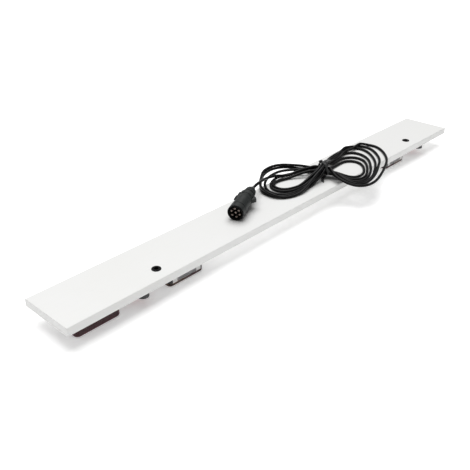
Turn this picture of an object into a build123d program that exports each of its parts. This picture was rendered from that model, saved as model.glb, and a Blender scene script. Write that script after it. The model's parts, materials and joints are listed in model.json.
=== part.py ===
"""Towing light board, stored lamps down with its cable tied in a hank on its back.

Millimetres. +Z is up, the floor is z = 0, and the origin is under the middle of the board.
X runs along the board. The board's back face looks up, and its lamps look down.
The near long edge (-Y) is the board's upper edge once it hangs on a trailer.
"""
from build123d import *
from math import cos, pi, radians, sin, sqrt, tan
import os

os.makedirs("parts", exist_ok=True)

# ---------------------------------------------------------------- driving dimensions
board_length = 1370.0
board_width = 134.0
board_thickness = 18.0
skin = 2.2                      # outer walls of the hollow plastic board
rib = 1.2                       # the thin walls between its chambers
chambers = 7
edge_round = 2.0
cap_plate = 2.5                 # thickness of the end caps
cap_tongue = 12.0               # how far their tongues reach into the chambers

lamp_depth = 34.0               # lamps stand this far off the board's front face
front_z = lamp_depth            # the front face, looking down
back_z = front_z + board_thickness
layout_x = 27.6                 # the lamps and grommets are centred here: one end is longer
near_line = -45.0               # the lamps' near sides stand on one line

lamp_wall = 2.5
bulb_z = 16.5                   # height of every bulb's axis
wire_hole_r = 4.0
chamber_mid_z = front_z + board_thickness / 2

rear_x = 410.0                  # rear lamps, either side of layout_x
rear_length = 96.0
rear_width = 90.0
rear_lens_depth = 7.0
rear_corner = 9.0
gasket_thickness = 1.0
window_length = 54.0
window_bottom = 8.0
window_height = 18.5
flute_pitch = 3.0

fog_x = -604.5
fog_length = 103.0
fog_width = 60.0
fog_lens_depth = 26.0
fog_corner = 10.0

triangle_x = 530.0              # warning triangles, either side of layout_x
triangle_side = 156.0
triangle_corner = 12.0
triangle_depth = 14.0
triangle_rim = 6.0
triangle_plate = 2.5            # what stands behind the red reflector

grommet_x = 480.0               # mounting holes, either side of layout_x
grommet_y = -33.0
grommet_bore_r = 5.0
grommet_neck_r = 7.0
grommet_flange_r = 10.0
grommet_flange = 1.6

cable_r = 3.5
entry_x = 84.0                  # where the cable goes into the back of the board
boot_length = 26.0
boot_rise = 8.0                 # degrees above the back face

screw_shank_r = 1.6
screw_head_r = 3.6
screw_head = 2.2

plug_nose_r = 19.0
plug_mouth_r = 16.0
plug_length = 124.0
rim_length = 3.0                # the dark ring at the front of the plug's shell
shell_length = 84.0             # where the shell ends and the clamp nut starts
plug_rails = (                  # start, length, outer radius and turn of each rail
    (46, 12, 21.8, 209), (58, 20, 20.4, 209), (38, 26, 20.2, 120))
plug_nose = Vector(-197.7, -9.2, back_z + plug_nose_r + 0.1)
plug_axis = Vector(113.7, 49.0, 6.0).normalized()
plug_base = Plane(origin=plug_nose, x_dir=(0.395, -0.918, 0), z_dir=plug_axis)

tie_centre = Vector(134.6, -7.8, back_z + 19.6)
tie_heading = -20.0             # degrees from +X: the way the tied strands run
waist = (18.5, 17.6)            # half width and half height of the tied strands
tie_thickness = 1.6
tie_width = 8.0

# The lead's route, from inside the plug's nut to the hank, as points chosen by hand.
lead_start = plug_nose + plug_axis * (plug_length - 14)
lead_route = [
    tuple(lead_start),
    tuple(plug_nose + plug_axis * (plug_length + 5)),
    (-61.0, 47.5, 78.0),
    (-43.5, 52.0, 77.0),
    (-20.0, 62.0, 72.0),
    (2.0, 70.0, 66.5),
]


# ---------------------------------------------------------------- helpers
def block(centre, size, corner, bottom, height, mode=Mode.ADD):
    """A block with rounded corners in plan, from its bottom height up."""
    with BuildSketch(Plane.XY.offset(bottom)) as outline:
        with Locations(centre):
            RectangleRounded(*size, corner)
    extrude(outline.sketch, amount=height, mode=mode)


def post(centre, radius, bottom, height, mode=Mode.ADD):
    """A round post, or a hole, standing on a height."""
    with BuildSketch(Plane.XY.offset(bottom)) as disc:
        with Locations(centre):
            Circle(radius)
    extrude(disc.sketch, amount=height, mode=mode)


def rod(plane, radius, length, mode=Mode.ADD):
    """A round rod along a plane's normal."""
    with BuildSketch(plane) as disc:
        Circle(radius)
    extrude(disc.sketch, amount=length, mode=mode)


def turned(plane, profile, mode=Mode.ADD):
    """A turned shape: points of distance along the plane's normal and radius."""
    half_plane = Plane(origin=plane.origin, x_dir=plane.z_dir, z_dir=plane.y_dir)
    with BuildSketch(half_plane) as half:
        with BuildLine():
            Polyline((profile[0][0], 0), *profile, (profile[-1][0], 0), close=True)
        make_face()
    revolve(half.sketch, axis=Axis(plane.origin, plane.z_dir), mode=mode)


def triangle(centre, side, corner, bottom, height, mode=Mode.ADD):
    """A rounded triangle in plan, its point towards the near edge."""
    with BuildSketch(Plane.XY.offset(bottom)) as outline:
        with Locations(centre):
            Triangle(a=side, b=side, c=side, rotation=180)
        fillet(outline.vertices(), corner)
    extrude(outline.sketch, amount=height, mode=mode)


def screw(centre, head_bottom, length):
    """A pan-head screw pointing up, its head below."""
    post(centre, screw_head_r, head_bottom, screw_head)
    post(centre, screw_shank_r, head_bottom + screw_head, length)
    with BuildSketch(Plane.XY.offset(head_bottom)) as recess:
        with Locations(centre):
            Rectangle(4.0, 0.9)
            Rectangle(0.9, 4.0)
    extrude(recess.sketch, amount=1.0, mode=Mode.SUBTRACT)


def hull(circles, bottom, height):
    """A slab round a few circles, as a band stretched round them would bound it."""
    with BuildSketch(Plane.XY.offset(bottom)) as outline:
        with BuildLine() as rims:
            for x, y, radius in circles:
                CenterArc((x, y), radius, 0, 360)
        make_hull(rims.edges())
    extrude(outline.sketch, amount=height)


def save(piece, label):
    """Label the piece and write it as the node of that name."""
    piece.part.label = label
    export_step(piece.part, f"parts/{label}.step")


# ---------------------------------------------------------------- places used more than once
sides = (("left", -1), ("right", 1))
profile_length = board_length - 2 * cap_plate
chamber_width = (board_width - 2 * skin - (chambers - 1) * rib) / chambers
chamber_pitch = chamber_width + rib
chamber_height = board_thickness - 2 * skin
grommets = [(layout_x + sign * grommet_x, grommet_y) for _, sign in sides]
rear_lamps = {name: layout_x + sign * rear_x for name, sign in sides}
triangles = {name: layout_x + sign * triangle_x for name, sign in sides}
triangle_y = 16.5               # the triangles' centroids
fog_centre = (fog_x, near_line + fog_width / 2)
triangle_screws = ((-50.0, 32.0), (50.0, 32.0), (0.0, -52.0))
pilot_depth = 8.0               # how deep the screws cut into the board
rear_screw = (38.0, 34.0)       # lens and mounting screws stand at these corners
fog_screw = 41.0

# ---------------------------------------------------------------- the hollow board
with BuildPart() as board_profile:
    with BuildSketch(Plane.YZ.offset(-profile_length / 2)):
        with Locations((0, chamber_mid_z)):
            RectangleRounded(board_width, board_thickness, edge_round)
            with GridLocations(chamber_pitch, 0, chambers, 1):
                RectangleRounded(chamber_width, chamber_height, 0.8, mode=Mode.SUBTRACT)
    extrude(amount=profile_length)
    for centre in grommets:
        post(centre, grommet_neck_r, front_z, board_thickness, mode=Mode.SUBTRACT)
    post((entry_x, 0), 6.0, back_z - skin, skin, mode=Mode.SUBTRACT)
    for x in (*rear_lamps.values(), fog_x):
        post((x, 0), wire_hole_r, front_z, skin, mode=Mode.SUBTRACT)
    for name, sign in sides:
        x = rear_lamps[name]
        for dx, dy in ((sign, -1), (-sign, 1)):
            corner_screw = (x + dx * rear_screw[0], dy * rear_screw[1])
            post(corner_screw, screw_shank_r, front_z, pilot_depth, mode=Mode.SUBTRACT)
        for dx, dy in triangle_screws:
            pilot = (triangles[name] + dx, triangle_y + dy)
            post(pilot, screw_shank_r, front_z, pilot_depth, mode=Mode.SUBTRACT)
    for dx, dy in ((-1, -1), (1, 1)):
        pilot = (fog_x + dx * fog_screw, fog_centre[1] + dy * 20)
        post(pilot, screw_shank_r, front_z, pilot_depth, mode=Mode.SUBTRACT)
save(board_profile, "board_profile")

# ---------------------------------------------------------------- end caps and mounting grommets
for name, sign in sides:
    with BuildPart() as end_cap:
        plate_plane = Plane.YZ.offset(sign * profile_length / 2)
        with BuildSketch(plate_plane) as plate:
            with Locations((0, chamber_mid_z)):
                RectangleRounded(board_width, board_thickness, edge_round)
        extrude(plate.sketch, amount=sign * cap_plate)
        fillet(end_cap.faces().sort_by(Axis.X)[-1 if sign > 0 else 0].edges(), 1.0)
        with BuildSketch(plate_plane) as tongues:
            with Locations((0, chamber_mid_z)):
                with GridLocations(3 * chamber_pitch, 0, 3, 1):
                    RectangleRounded(chamber_width - 0.6, chamber_height - 0.6, 0.8)
        extrude(tongues.sketch, amount=-sign * cap_tongue)
    save(end_cap, f"end_cap_{name}")

for (name, sign), centre in zip(sides, grommets):
    with BuildPart() as mounting_grommet:
        post(centre, grommet_neck_r, front_z, board_thickness)
        for bottom in (front_z - grommet_flange, back_z):
            post(centre, grommet_flange_r, bottom, grommet_flange)
        rims = mounting_grommet.edges().filter_by(GeomType.CIRCLE).sort_by(Axis.Z)
        fillet([rims[0], rims[-1]], 0.7)
        post(centre, grommet_bore_r, front_z - 5, board_thickness + 10, mode=Mode.SUBTRACT)
    save(mounting_grommet, f"mounting_grommet_{name}")

# ---------------------------------------------------------------- rear lamps
base_bottom = rear_lens_depth + gasket_thickness
base_floor = front_z - lamp_wall
inner_length = rear_length - 2 * lamp_wall
inner_width = rear_width - 2 * lamp_wall
near_wall_y = -rear_width / 2
tray_length = 64.0
tray_width = 82.0
tray_wall = 1.2
chamber_x = 15.7                # the two bulb chambers lie either side of the divider
holder_y = 26.0
side_panel = rear_length - 2 * rear_corner      # the white part of the lamps' long sides


def lamp_ends(lamp_x, mode=Mode.ADD):
    """The two end walls of a rear lamp with their corners, which are dark covers."""
    with BuildSketch(Plane.XY.offset(base_bottom)) as ends:
        with Locations((lamp_x, 0)):
            RectangleRounded(rear_length, rear_width, rear_corner)
            RectangleRounded(inner_length, inner_width, rear_corner - lamp_wall,
                             mode=Mode.SUBTRACT)
            Rectangle(side_panel, rear_width + 2, mode=Mode.SUBTRACT)
    extrude(ends.sketch, amount=front_z - base_bottom, mode=mode)


for name, sign in sides:
    lamp_x = rear_lamps[name]
    lens_screws = [(lamp_x + sign * rear_screw[0], rear_screw[1]),
                   (lamp_x - sign * rear_screw[0], -rear_screw[1])]
    mount_screws = [(lamp_x + sign * rear_screw[0], -rear_screw[1]),
                    (lamp_x - sign * rear_screw[0], rear_screw[1])]

    with BuildPart() as lamp_base:
        block((lamp_x, 0), (rear_length, rear_width), rear_corner, base_bottom,
              front_z - base_bottom)
        fillet(lamp_base.edges().group_by(Axis.Z)[-1], 1.0)
        block((lamp_x, 0), (inner_length, inner_width), rear_corner - lamp_wall, base_bottom,
              base_floor - base_bottom, mode=Mode.SUBTRACT)
        for centre in lens_screws:
            post(centre, 4.0, base_bottom, base_floor - base_bottom)
            post(centre, screw_shank_r, base_bottom, 16, mode=Mode.SUBTRACT)
        for centre in mount_screws:
            post(centre, screw_shank_r, base_floor, lamp_wall, mode=Mode.SUBTRACT)
        post((lamp_x, 0), wire_hole_r, base_floor, lamp_wall, mode=Mode.SUBTRACT)
        with BuildSketch(Plane.XZ.offset(-near_wall_y - lamp_wall)) as opening:
            with Locations((lamp_x, window_bottom + window_height / 2)):
                RectangleRounded(window_length, window_height, 2.0)
        extrude(opening.sketch, amount=lamp_wall, mode=Mode.SUBTRACT)
        lamp_ends(lamp_x, mode=Mode.SUBTRACT)
    save(lamp_base, f"rear_lamp_base_{name}")

    with BuildPart() as end_covers:
        lamp_ends(lamp_x)
    save(end_covers, f"rear_lamp_end_covers_{name}")

    with BuildPart() as plate_window:
        with BuildSketch(Plane.XZ.offset(-near_wall_y - lamp_wall)) as pane:
            with Locations((lamp_x, window_bottom + window_height / 2)):
                RectangleRounded(window_length, window_height, 2.0)
        extrude(pane.sketch, amount=lamp_wall)
        flute_count = int(window_length / flute_pitch) - 1
        with BuildSketch(Plane.XY.offset(window_bottom + 1.5)) as flutes:
            with Locations((lamp_x, near_wall_y)):
                with GridLocations(flute_pitch, 0, flute_count, 1):
                    Circle(0.9)
        extrude(flutes.sketch, amount=window_height - 3, mode=Mode.SUBTRACT)
    save(plate_window, f"plate_window_{name}")

    with BuildPart() as gasket:
        block((lamp_x, 0), (rear_length - 2, rear_width - 2), rear_corner - 1, rear_lens_depth,
              gasket_thickness)
        block((lamp_x, 0), (inner_length, inner_width), rear_corner - lamp_wall,
              rear_lens_depth, gasket_thickness, mode=Mode.SUBTRACT)
    save(gasket, f"rear_lamp_gasket_{name}")

    with BuildPart() as reflector:
        tray_height = base_floor - base_bottom
        block((lamp_x, 0), (tray_length, tray_width), 3.0, base_bottom, tray_height)
        for side in (-1, 1):
            pocket_centre = (lamp_x + side * tray_length / 4, 0)
            pocket_size = (tray_length / 2 - 1.5 * tray_wall, tray_width - 2 * tray_wall)
            block(pocket_centre, pocket_size, 2.0, base_bottom, tray_height - tray_wall,
                  mode=Mode.SUBTRACT)
        block((lamp_x, -tray_width / 2), (window_length, 4 * tray_wall), 1.0, base_bottom,
              tray_height - tray_wall, mode=Mode.SUBTRACT)
        post((lamp_x, 0), wire_hole_r, base_floor - tray_wall, tray_wall, mode=Mode.SUBTRACT)
        block((lamp_x, 0), (2 * wire_hole_r, 2 * wire_hole_r), 1.0, base_floor - 8,
              8 - tray_wall, mode=Mode.SUBTRACT)
    save(reflector, f"rear_lamp_reflector_{name}")

    tray_floor = base_floor - tray_wall
    with BuildPart() as holders:
        for side in (-1, 1):
            holder_x = lamp_x + side * chamber_x
            socket_plane = Plane(origin=(holder_x, holder_y, bulb_z), z_dir=(0, 1, 0))
            rod(socket_plane, 9.5, 12)
            block((holder_x, holder_y + 6), (12, 12), 1.0, bulb_z, tray_floor - bulb_z)
            rod(socket_plane, 7.5, 12, mode=Mode.SUBTRACT)
    save(holders, f"rear_lamp_bulb_holders_{name}")

    with BuildPart() as bulb_caps:
        for side in (-1, 1):
            cap_plane = Plane(origin=(lamp_x + side * chamber_x, holder_y - 5, bulb_z),
                              z_dir=(0, 1, 0))
            turned(cap_plane, [(0, 6.0), (3, 7.5), (16, 7.5), (16, 3.5), (17.5, 2.5)])
    save(bulb_caps, f"rear_lamp_bulb_caps_{name}")

    with BuildPart() as bulb_glasses:
        for side in (-1, 1):
            glass_plane = Plane(origin=(lamp_x + side * chamber_x, holder_y - 5, bulb_z),
                                z_dir=(0, -1, 0))
            rod(glass_plane, 6.0, 12)
            with Locations(glass_plane.offset(19.0)):
                Sphere(12.0)
    save(bulb_glasses, f"rear_lamp_bulb_glasses_{name}")

    # The lens is two mouldings, joined on the lamp's middle line: amber outboard, red inboard.
    for colour, half in (("amber", sign), ("red", -sign)):
        with BuildPart() as lens:
            block((lamp_x, 0), (rear_length, rear_width), rear_corner, 0, rear_lens_depth)
            fillet(lens.edges().group_by(Axis.Z)[0], 4.5)
            block((lamp_x, 0), (inner_length, inner_width), rear_corner - lamp_wall, lamp_wall,
                  rear_lens_depth - lamp_wall, mode=Mode.SUBTRACT)
            for centre in lens_screws:
                post(centre, 5.0, lamp_wall, rear_lens_depth - lamp_wall)
                post(centre, screw_shank_r, 0, rear_lens_depth, mode=Mode.SUBTRACT)
                post(centre, screw_head_r + 0.4, 0, screw_head + 1, mode=Mode.SUBTRACT)
            split(bisect_by=Plane(origin=(lamp_x, 0, 0), z_dir=(half, 0, 0)), keep=Keep.TOP)
        save(lens, f"rear_lamp_lens_{colour}_{name}")

    with BuildPart() as lens_screw_set:
        for centre in lens_screws:
            screw(centre, 1.0, 18)
    save(lens_screw_set, f"rear_lamp_lens_screws_{name}")

    with BuildPart() as mount_screw_set:
        for centre in mount_screws:
            screw(centre, base_floor - screw_head, 10)
    save(mount_screw_set, f"rear_lamp_mounting_screws_{name}")

# ---------------------------------------------------------------- fog lamp
fog_base_bottom = fog_lens_depth + gasket_thickness
fog_y = fog_centre[1]
fog_bosses = [(fog_x - fog_screw, fog_y + 20), (fog_x + fog_screw, fog_y - 20)]
fog_mounts = [(fog_x - fog_screw, fog_y - 20), (fog_x + fog_screw, fog_y + 20)]
fog_inner = (fog_length - 2 * lamp_wall, fog_width - 2 * lamp_wall)

with BuildPart() as fog_base:
    block(fog_centre, (fog_length, fog_width), fog_corner, fog_base_bottom,
          front_z - fog_base_bottom)
    fillet(fog_base.edges().group_by(Axis.Z)[-1], 1.0)
    block(fog_centre, fog_inner, fog_corner - lamp_wall, fog_base_bottom,
          base_floor - fog_base_bottom, mode=Mode.SUBTRACT)
    for centre in fog_bosses:
        post(centre, 4.0, fog_base_bottom, base_floor - fog_base_bottom)
        post(centre, screw_shank_r, fog_base_bottom, base_floor - fog_base_bottom,
             mode=Mode.SUBTRACT)
    for centre in fog_mounts:
        post(centre, screw_shank_r, base_floor, lamp_wall, mode=Mode.SUBTRACT)
    post((fog_x, 0), wire_hole_r, base_floor, lamp_wall, mode=Mode.SUBTRACT)
save(fog_base, "fog_lamp_base")

with BuildPart() as fog_gasket:
    block(fog_centre, (fog_length - 2, fog_width - 2), fog_corner - 1, fog_lens_depth,
          gasket_thickness)
    block(fog_centre, fog_inner, fog_corner - lamp_wall, fog_lens_depth, gasket_thickness,
          mode=Mode.SUBTRACT)
save(fog_gasket, "fog_lamp_gasket")

with BuildPart() as fog_reflector:
    fog_tray = (66.0, 50.0)
    block(fog_centre, fog_tray, 8.0, 14.0, base_floor - 14.0)
    block(fog_centre, (fog_tray[0] - 2 * tray_wall, fog_tray[1] - 2 * tray_wall), 7.0, 14.0,
          base_floor - 14.0 - tray_wall, mode=Mode.SUBTRACT)
    post((fog_x, 0), wire_hole_r, base_floor - tray_wall, tray_wall, mode=Mode.SUBTRACT)
save(fog_reflector, "fog_lamp_reflector")

fog_socket = Plane(origin=(fog_x + 14, fog_y, bulb_z), z_dir=(1, 0, 0))
with BuildPart() as fog_holder:
    rod(fog_socket, 9.5, 12)
    block((fog_x + 20, fog_y), (12, 12), 1.0, bulb_z, tray_floor - bulb_z)
    rod(fog_socket, 7.5, 12, mode=Mode.SUBTRACT)
save(fog_holder, "fog_lamp_bulb_holder")

with BuildPart() as fog_bulb_cap:
    turned(fog_socket.offset(-5), [(0, 6.0), (3, 7.5), (16, 7.5), (16, 3.5), (17.5, 2.5)])
save(fog_bulb_cap, "fog_lamp_bulb_cap")

fog_glass_plane = Plane(origin=(fog_x + 9, fog_y, bulb_z), z_dir=(-1, 0, 0))
with BuildPart() as fog_bulb_glass:
    rod(fog_glass_plane, 6.0, 12)
    with Locations(fog_glass_plane.offset(19.0)):
        Sphere(12.0)
save(fog_bulb_glass, "fog_lamp_bulb_glass")

with BuildPart() as fog_lens:
    block(fog_centre, (fog_length, fog_width), fog_corner, 0, fog_lens_depth)
    fillet(fog_lens.edges().group_by(Axis.Z)[0], 5.0)
    block(fog_centre, fog_inner, fog_corner - lamp_wall, lamp_wall, fog_lens_depth - lamp_wall,
          mode=Mode.SUBTRACT)
    for centre in fog_bosses:
        post(centre, 5.0, lamp_wall, fog_lens_depth - lamp_wall)
        post(centre, screw_shank_r, 0, fog_lens_depth, mode=Mode.SUBTRACT)
        post(centre, screw_head_r + 0.4, 0, screw_head + 1, mode=Mode.SUBTRACT)
save(fog_lens, "fog_lamp_lens")

with BuildPart() as fog_lens_screws:
    for centre in fog_bosses:
        screw(centre, 1.0, base_floor - screw_head - 1.0)
save(fog_lens_screws, "fog_lamp_lens_screws")

with BuildPart() as fog_mount_screws:
    for centre in fog_mounts:
        screw(centre, base_floor - screw_head, 10)
save(fog_mount_screws, "fog_lamp_mounting_screws")

# ---------------------------------------------------------------- warning triangles
rim_inset = triangle_rim * 2 * sqrt(3)
for name, sign in sides:
    centre = (triangles[name], triangle_y)
    screws_at = [(centre[0] + dx, centre[1] + dy) for dx, dy in triangle_screws]
    triangle_bottom = front_z - triangle_depth
    red_top = triangle_bottom + 6.0
    plate_top = red_top + triangle_plate

    with BuildPart() as backing:
        triangle(centre, triangle_side, triangle_corner, triangle_bottom, triangle_depth)
        fillet(backing.edges().group_by(Axis.Z)[0], 2.0)
        triangle(centre, triangle_side - rim_inset, triangle_corner - triangle_rim,
                 triangle_bottom, 6.0, mode=Mode.SUBTRACT)
        triangle(centre, triangle_side - rim_inset, triangle_corner - triangle_rim,
                 plate_top, front_z - plate_top, mode=Mode.SUBTRACT)
        for spot in screws_at:
            post(spot, 4.0, red_top, front_z - red_top)
            post(spot, screw_shank_r, red_top, front_z - red_top, mode=Mode.SUBTRACT)
    save(backing, f"triangle_backing_{name}")

    with BuildPart() as red_triangle:
        triangle(centre, triangle_side - rim_inset, triangle_corner - triangle_rim,
                 triangle_bottom + 0.6, 5.4)
        for spot in screws_at:
            post(spot, screw_head_r + 0.6, triangle_bottom, 6.0, mode=Mode.SUBTRACT)
    save(red_triangle, f"triangle_reflector_{name}")

    with BuildPart() as triangle_screw_set:
        for spot in screws_at:
            screw(spot, red_top - screw_head, front_z + 6 - red_top)
    save(triangle_screw_set, f"triangle_screws_{name}")

# ---------------------------------------------------------------- cable entry and wiring
boot_tilt = radians(boot_rise)
boot_direction = Vector(cos(boot_tilt), 0, sin(boot_tilt))
boot_plane = Plane(origin=(entry_x, 0, back_z), x_dir=(0, 1, 0), z_dir=boot_direction)
cable_exit = Vector(entry_x, 0, back_z) + boot_direction * boot_length

with BuildPart() as entry_boot:
    turned(boot_plane, [(-6.0, 8.0), (8.0, 7.2), (boot_length, 5.2)])
    split(bisect_by=Plane.XY.offset(back_z), keep=Keep.TOP)
    post((entry_x, 0), 10.0, back_z, 2.0)
    post((entry_x, 0), 6.0, back_z - skin, skin)
    post((entry_x, 0), 7.5, back_z - skin - 1.5, 1.5)
save(entry_boot, "cable_entry_boot")

splice_half = 15.0
with BuildPart() as splice:
    rod(Plane.YZ.offset(entry_x - splice_half) * Location((0, chamber_mid_z, 0)), 4.5,
        2 * splice_half)
    post((entry_x, 0), cable_r, chamber_mid_z, back_z - skin - 1.5 - chamber_mid_z)
save(splice, "wire_splice")


def loom(start, end, branches):
    """The wires in the board's middle chamber, with a branch down into each lamp."""
    low = min(start, end)
    rod(Plane.YZ.offset(low) * Location((0, chamber_mid_z, 0)), 2.5, abs(end - start))
    for x in branches:
        post((x, 0), 2.5, tray_floor - 1.5, chamber_mid_z - tray_floor + 1.5)


with BuildPart() as loom_left:
    loom(entry_x - splice_half, fog_x - 2.5, (rear_lamps["left"], fog_x))
save(loom_left, "wire_loom_left")

with BuildPart() as loom_right:
    loom(entry_x + splice_half, rear_lamps["right"] + 2.5, (rear_lamps["right"],))
save(loom_right, "wire_loom_right")

# ---------------------------------------------------------------- seven-pin plug
with BuildPart() as rim_seal:
    turned(plug_base, [(0, 18.2), (0.8, plug_nose_r), (rim_length, plug_nose_r)])
    rod(plug_base, plug_mouth_r, rim_length, mode=Mode.SUBTRACT)
save(rim_seal, "plug_rim_seal")

collar_start = 18.5
with BuildPart() as collar_seal:
    turned(plug_base.offset(collar_start), [(0, 18.7), (2.5, 18.7)])
    rod(plug_base.offset(collar_start), 17.2, 2.5, mode=Mode.SUBTRACT)
save(collar_seal, "plug_collar_seal")

lug_plane = Plane(origin=plug_nose, x_dir=plug_axis, z_dir=plug_base.y_dir)
with BuildPart() as plug_shell:
    turned(plug_base, [(rim_length, plug_nose_r), (collar_start, plug_nose_r),
                       (collar_start, 17.2), (21, 17.2), (21, 18.8), (58, 18.2), (66, 17.0), (70, 17.0),
                       (71, 18.2), (shell_length - 1, 18.2), (shell_length, 17.4)])
    with BuildSketch(lug_plane) as lug:
        with BuildLine():
            Polyline((63, 15), (65.5, 20.5), (70, 26), (73.5, 26), (83, 18), (83, 15), close=True)
        make_face()
    extrude(lug.sketch, amount=4.5, both=True)
    for start, length, radius, turn in plug_rails:
        with BuildSketch(plug_base.offset(start)) as rail:
            with PolarLocations(radius - 2, 1, start_angle=turn):
                Rectangle(4, 7)
        extrude(rail.sketch, amount=length)
    turned(plug_base, [(rim_length, plug_mouth_r), (32, plug_mouth_r), (32, 14.0),
                       (shell_length, 14.0)], mode=Mode.SUBTRACT)
save(plug_shell, "plug_shell")

pin_ring = 10.2
pin_angles = [19 + 60 * n for n in range(6)]
pin_places = [(pin_ring * cos(radians(a)), pin_ring * sin(radians(a))) for a in pin_angles]
with BuildPart() as carrier:
    turned(plug_base.offset(20), [(0, plug_mouth_r), (12, plug_mouth_r), (12, 14.0), (34, 14.0)])
    with BuildSketch(plug_base.offset(20)) as bores:
        with Locations(*pin_places):
            Circle(2.5)
        Circle(2.5)
    extrude(bores.sketch, amount=34, mode=Mode.SUBTRACT)
save(carrier, "plug_contact_carrier")

with BuildPart() as pins:
    with BuildSketch(plug_base.offset(2)) as ring_of_pins:
        with Locations(*pin_places):
            Circle(2.5)
    extrude(ring_of_pins.sketch, amount=52)
    fillet(pins.faces().filter_by(lambda f: f.normal_at().dot(plug_axis) < -0.99).edges(), 1.0)
    with BuildSketch(plug_base.offset(1)) as slots:
        for a, spot in zip(pin_angles, pin_places):
            with Locations(Location((*spot, 0), (0, 0, a))):
                Rectangle(6, 0.7)
    extrude(slots.sketch, amount=12, mode=Mode.SUBTRACT)
    turned(plug_base.offset(3), [(0, 2.0), (0.8, 2.5), (51, 2.5)])
save(pins, "plug_pins")

with BuildPart() as clamp_nut:
    turned(plug_base.offset(shell_length), [(0, 13.0), (8.5, 13.0), (8.5, 14.2), (9.5, 14.5),
                                            (20, 13.8), (26, 12.6), (30, 10.6), (33, 8.0),
                                            (40, 6.2)])
    with BuildSketch(plug_base.offset(shell_length + 12)) as grip_slots:
        with PolarLocations(14.4, 9):
            Rectangle(3.4, 2.6)
    extrude(grip_slots.sketch, amount=20, mode=Mode.SUBTRACT)
    turned(plug_base.offset(shell_length), [(0, 8.0), (28, 8.0), (28, 4.2), (41, 4.2)],
           mode=Mode.SUBTRACT)
save(clamp_nut, "plug_clamp_nut")

with BuildPart() as nut_seal:
    turned(plug_base.offset(shell_length), [(0, 15.4), (7.5, 15.4), (8.5, 14.6)])
    rod(plug_base.offset(shell_length), 13.0, 8.5, mode=Mode.SUBTRACT)
save(nut_seal, "plug_nut_seal")

with BuildPart() as cable_seal:
    turned(plug_base.offset(90), [(0, 7.8), (22, 7.8)])
    turned(plug_base.offset(89), [(0, cable_r), (24, cable_r)], mode=Mode.SUBTRACT)
save(cable_seal, "plug_cable_seal")

with BuildPart() as terminal_screws:
    with BuildSketch(plug_base.offset(54)) as heads:
        with Locations(*pin_places):
            Circle(2.4)
        Circle(2.4)
    extrude(heads.sketch, amount=3)
    with BuildSketch(plug_base.offset(56)) as slots:
        with Locations(*pin_places, (0, 0)):
            Rectangle(6, 0.8)
    extrude(slots.sketch, amount=1, mode=Mode.SUBTRACT)
save(terminal_screws, "plug_terminal_screws")

# ---------------------------------------------------------------- lead, hank of cable and tie
def corner_radii(points):
    """The largest arc that each corner's two runs allow: 0.45 of the shorter run."""
    radii = []
    for before, corner, after in zip(points, points[1:], points[2:]):
        run_in = Vector(*corner) - Vector(*before)
        run_out = Vector(*after) - Vector(*corner)
        turn = radians(run_in.get_angle(run_out))
        radii.append(0.45 * min(run_in.length, run_out.length) / tan(turn / 2))
    return radii


lead_radii = corner_radii(lead_route)
with BuildPart() as lead:
    with BuildLine() as lead_path:
        FilletPolyline(*lead_route, radius=lead_radii)
    with BuildSketch(Plane(origin=lead_route[0], z_dir=plug_axis)):
        Circle(cable_r)
    sweep()
save(lead, "cable_lead")

tie_turn = radians(tie_heading)
tie_direction = Vector(cos(tie_turn), sin(tie_turn), 0)
tie_side = Vector(-sin(tie_turn), cos(tie_turn), 0)
tie_plane = Plane(origin=tie_centre, x_dir=tie_side, z_dir=tie_direction)
bunch_r = 19.0                  # the strands beside the tie, seen from above
left_bunch = tie_centre - tie_direction * (bunch_r + 6)
right_bunch = tie_centre + tie_direction * (bunch_r + 6)
left_loop = [(4, 24, 56), (60, 66, 58), (98, 86, 26), (left_bunch.X, left_bunch.Y, bunch_r)]
right_loop = [(352, -8, 51), (300, -50, 55), (168, -86, 50.5), (280, 12, 42), (205, 12, 28),
              (right_bunch.X, right_bunch.Y, bunch_r)]
loop_height = 19.0              # the loops, away from the tie
bunch_height = tie_centre.Z + waist[1] - back_z

with BuildPart() as hank:
    hull(left_loop, back_z, bunch_height)
    hull(right_loop, back_z, bunch_height)
    roof_plane = Plane(origin=(tie_centre.X, tie_centre.Y, back_z))
    turned(roof_plane, [(0, 400), (loop_height, 400), (loop_height, 105), (26, 78), (32, 50),
                        (bunch_height, 22)], mode=Mode.INTERSECT)
    with BuildSketch(tie_plane.offset(-9)) as waist_outline:
        Ellipse(*waist)
    extrude(waist_outline.sketch, amount=18)
    for x, y, radius in ((212, -38, 36), (30, 23, 16)):
        post((x, y), radius, back_z, loop_height + 20, mode=Mode.SUBTRACT)
    add([entry_boot.part, lead.part], mode=Mode.SUBTRACT)
save(hank, "cable_hank")

with BuildPart() as tie:
    with BuildSketch(tie_plane.offset(-tie_width / 2)) as band:
        Ellipse(waist[0] + tie_thickness, waist[1] + tie_thickness)
    extrude(band.sketch, amount=tie_width)
    with BuildSketch(Plane.XY.offset(back_z + 0.3)) as tail:
        with Locations(Location((tie_centre.X - 19, tie_centre.Y - 22, 0), (0, 0, 25))):
            Rectangle(34, 1.8)
    extrude(tail.sketch, amount=9)
    with BuildSketch(tie_plane.offset(-20)) as inside:
        Ellipse(*waist)
    extrude(inside.sketch, amount=40, mode=Mode.SUBTRACT)
save(tie, "hank_tie")

lead_length = sum(edge.length for edge in lead_path.edges())
tube_volume = lead_length * pi * cable_r ** 2
print("lead radii", [round(r, 1) for r in lead_radii])
print("lead length", round(lead_length, 1),
      "volume ratio", round(lead.part.volume / tube_volume, 4))
print("cable leaves the boot at", cable_exit)
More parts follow.
